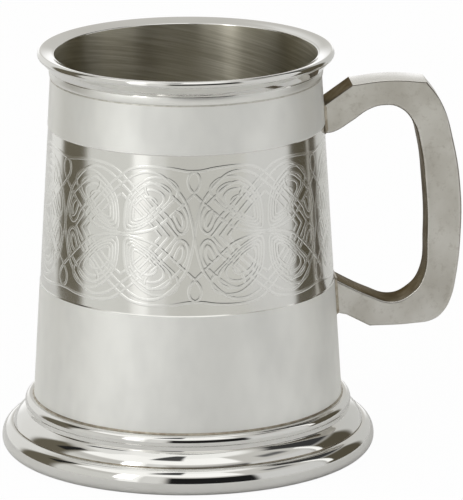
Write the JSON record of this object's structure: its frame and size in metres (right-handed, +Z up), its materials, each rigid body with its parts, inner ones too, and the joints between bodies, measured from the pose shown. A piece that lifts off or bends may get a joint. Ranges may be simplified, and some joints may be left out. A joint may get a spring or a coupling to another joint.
{
  "type": "pewter tankard",
  "caption": "One-pint pewter tankard: tapered drum with an embossed knotwork band, flared lip, moulded spreading foot and an angular cast handle.",
  "frame": {"origin": "middle of the whole width, foot to handle, on the plane that the tankard stands on; the drum's axis is vertical at x = -0.01283 m", "axes": "+Z up along the drum's axis, +X towards the handle"},
  "size_m": [0.1358, 0.11, 0.12],
  "materials": {
    "satin_pewter": "satin rolled pewter sheet, light grey",
    "polished_pewter": "mirror-polished pewter",
    "brushed_pewter": "brushed inside of the vessel, darker and warmer",
    "cast_pewter": "satin cast pewter, warm grey",
    "solder": "dull tin solder with brownish tarnish"
  },
  "bodies": {
    "root": {"drum": "satin_pewter", "seam_solder": "solder", "mouth_mount": "polished_pewter", "mount_solder": "solder", "floor_disc": "brushed_pewter", "floor_solder": "solder", "foot_moulding": "polished_pewter", "foot_solder": "solder", "base_ring": "polished_pewter", "base_solder": "solder", "handle": "cast_pewter", "handle_solder_upper": "solder", "handle_solder_lower": "solder"}
  },
  "joints": []
}
